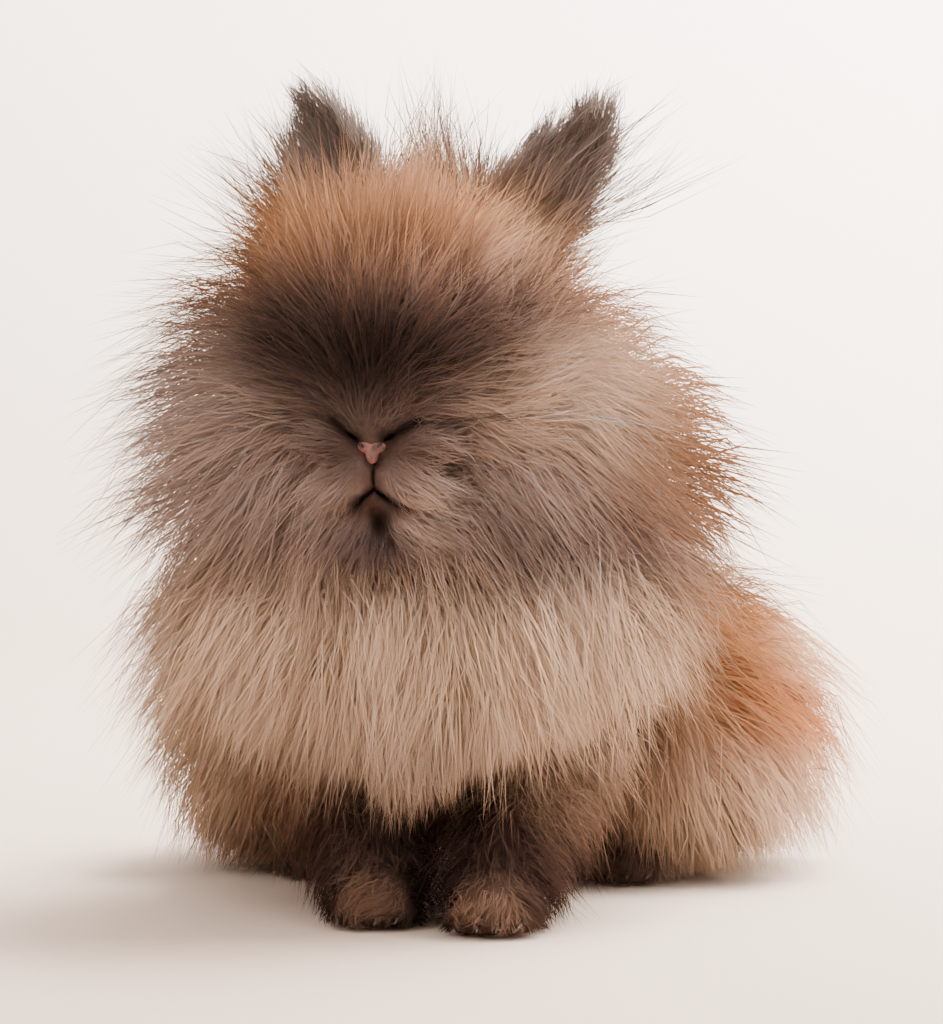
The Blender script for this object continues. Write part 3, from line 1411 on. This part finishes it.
@dataclass
class Whiskers:
    """The long hairs of the lip and brow, thin closed spikes."""

    thickness: float = 0.00014
    per_side: int = 7
    random: np.random.Generator = field(default_factory=lambda: np.random.default_rng(SEED + 1))

    def build(self) -> list[bpy.types.Object]:
        """Return the whiskers as one piece."""
        hairs = []
        for side in (1.0, -1.0):
            for number in range(self.per_side):
                share = number / (self.per_side - 1)
                root = HEAD @ Vector((side * (0.0095 + 0.003 * share), 0.008 + 0.006 * share,
                                      -0.0075 + 0.008 * self.random.random()))
                aim = HEAD.to_3x3() @ Vector((side, 0.35 + 0.3 * share, 0.25 - 0.5 * share))
                reach = self.random.uniform(0.045, 0.075)
                hairs.append(self.hair(root, aim.normalized(), reach))
        whole = join(hairs, "whiskers")
        whole.data.materials.append(
            GlossFinish("whisker_hair", Tone.TAUPE, Tone.MASK, 0.4, 0.0, 60.0).material()
        )
        bpy.ops.object.shade_smooth()
        return [whole]

    def hair(self, root: Vector, aim: Vector, reach: float) -> bpy.types.Object:
        """Return one bent, tapered hair.

        Args:
            root: Where it leaves the lip.
            aim: Which way it leaves.
            reach: Its length.
        """
        deselect()
        bpy.ops.mesh.primitive_cone_add(
            vertices=4, radius1=self.thickness, radius2=0.00004, depth=reach
        )
        hair = bpy.context.active_object
        bpy.ops.object.mode_set(mode="EDIT")
        bpy.ops.mesh.select_all(action="SELECT")
        bpy.ops.mesh.subdivide(number_cuts=5)
        bpy.ops.object.mode_set(mode="OBJECT")
        turn = aim.to_track_quat("Z", "Y").to_matrix().to_4x4()
        for vertex in hair.data.vertices:
            share = vertex.co.z / reach + 0.5
            vertex.co.z = share * reach
            spot = Matrix.Translation(root) @ turn @ vertex.co
            spot.z -= 0.25 * reach * share * share
            vertex.co = spot
        return hair


@dataclass
class Studio:
    """The pale floor and backdrop, the soft lights and the camera."""

    azimuth: float = 8.0
    elevation: float = 2.0
    distance: float = 1.15
    aim: Vector = Vector((0.013, -0.055, 0.1115))
    lens: float = 36.0 * 4259.0 / 1024.0

    def build(self) -> None:
        """Set up everything round the animal."""
        self.sheet()
        self.world()
        self.light("key", Vector((-0.7, -1.2, 1.3)), 1.3, 30.0, (1.0, 0.97, 0.94))
        self.light("fill", Vector((1.2, -1.1, 0.7)), 1.4, 20.0, (1.0, 0.98, 0.96))
        self.light("back", Vector((0.4, 1.0, 1.4)), 1.0, 16.0, (1.0, 0.97, 0.93))
        self.light("sheet", Vector((0.9, 0.5, 1.6)), 1.6, 430.0, (1.0, 0.975, 0.945),
                   Vector((0.9, 1.9, 0.2)))
        self.camera()

    @staticmethod
    def sheet() -> None:
        """Lay a sheet that is floor in front and backdrop behind."""
        deselect()
        bpy.ops.mesh.primitive_plane_add(size=1.0)
        sheet = bpy.context.active_object
        sheet.name = "floor"
        sheet.data.transform(Matrix.Diagonal((8.0, 5.0, 1.0, 1.0)))
        bpy.ops.object.mode_set(mode="EDIT")
        shape = bmesh.from_edit_mesh(sheet.data)
        for edge in shape.edges:
            edge.select = all(vertex.co.y > 1.0 for vertex in edge.verts)
        bmesh.update_edit_mesh(sheet.data)
        bpy.ops.mesh.extrude_region_move(TRANSFORM_OT_translate={"value": (0.0, 0.0, 4.0)})
        bpy.ops.object.mode_set(mode="OBJECT")
        sheet.data.transform(Matrix.Translation((0.0, -0.9, 0.0)))
        apply_modifier(sheet, "BEVEL", width=0.8, segments=16, limit_method="ANGLE")
        bpy.ops.object.shade_smooth()
        material, tree, shader = new_material("paper")
        place = tree.nodes.new("ShaderNodeTexCoord")
        split = tree.nodes.new("ShaderNodeSeparateXYZ")
        tree.links.new(place.outputs["Object"], split.inputs["Vector"])
        levels = tree.nodes.new("ShaderNodeMapRange")
        levels.inputs["From Min"].default_value = 0.0
        levels.inputs["From Max"].default_value = 0.9
        tree.links.new(split.outputs["Z"], levels.inputs["Value"])
        ramp = tree.nodes.new("ShaderNodeValToRGB")
        ramp.color_ramp.elements[0].color = (0.435, 0.342, 0.280, 1.0)
        ramp.color_ramp.elements[1].color = (0.94, 0.92, 0.90, 1.0)
        tree.links.new(levels.outputs["Result"], ramp.inputs["Fac"])
        tree.links.new(ramp.outputs["Color"], shader.inputs["Base Color"])
        shader.inputs["Roughness"].default_value = 0.9
        sheet.data.materials.append(material)

    @staticmethod
    def world() -> None:
        """Light the scene evenly from all round."""
        world = bpy.data.worlds.new("studio")
        world.use_nodes = True
        background = world.node_tree.nodes["Background"]
        background.inputs["Color"].default_value = (1.0, 0.98, 0.96, 1.0)
        background.inputs["Strength"].default_value = 1.3
        bpy.context.scene.world = world

    @staticmethod
    def light(name: str, place: Vector, size: float, power: float,
              colour: tuple[float, float, float],
              target: Vector = Vector((0.0, 0.0, 0.1))) -> None:
        """Add one soft light.

        Args:
            name: Its name.
            place: Where it hangs.
            size: Its width.
            power: Its power in watts.
            colour: Its colour.
            target: What it faces.
        """
        lamp = bpy.data.lights.new(name, "AREA")
        lamp.size = size
        lamp.energy = power
        lamp.color = colour
        holder = bpy.data.objects.new(name, lamp)
        holder.location = place
        aim = target - place
        holder.rotation_euler = aim.to_track_quat("-Z", "Y").to_euler()
        bpy.context.scene.collection.objects.link(holder)

    def camera(self) -> None:
        """Add the camera at the photograph's place."""
        around, above = math.radians(self.azimuth), math.radians(self.elevation)
        back = Vector((
            math.sin(around) * math.cos(above), -math.cos(around) * math.cos(above),
            math.sin(above),
        ))
        data = bpy.data.cameras.new("camera")
        data.lens = self.lens
        data.sensor_width = 36.0
        holder = bpy.data.objects.new("camera", data)
        holder.location = self.aim + STAND + back * self.distance
        holder.rotation_euler = back.to_track_quat("Z", "Y").to_euler()
        bpy.context.scene.collection.objects.link(holder)
        bpy.context.scene.camera = holder


REPLACED = ("head", "neck", "chest", "torso", "foreleg_left", "foreleg_right", "hindleg_left",
            "hindleg_right", "tail", "ear_left", "ear_right")


def main() -> None:
    """Build every piece in order."""
    logging.basicConfig(level=logging.INFO, format="%(message)s")
    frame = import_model()
    markings = Markings()
    skin = Skin(markings).build()
    coat = Coat(skin, markings).build()
    skin.data.materials.append(WoolFinish("underfur", 0.85).material())
    settle(skin, "tan_wool")
    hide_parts(*REPLACED)
    for piece in coat:
        settle(piece, "tan_wool")
    for piece in Nose().build():
        settle(piece, "brow_wool")
    for piece in Claws().build():
        settle(piece, "dark_wool")
    for piece in Whiskers().build():
        settle(piece, "bib_wool")
    wet = GlossFinish("eye_globe", Tone.HORN, Tone.LEG, 0.06, 0.6, 300.0).material()
    for side in ("left", "right"):
        globe = frame["nodes"][f"eye_{side}"]
        globe.data.materials.clear()
        globe.data.materials.append(wet)
        LOG.info("%s dressed", globe.name)
    Studio().build()


if __name__ == "__main__":
    main()
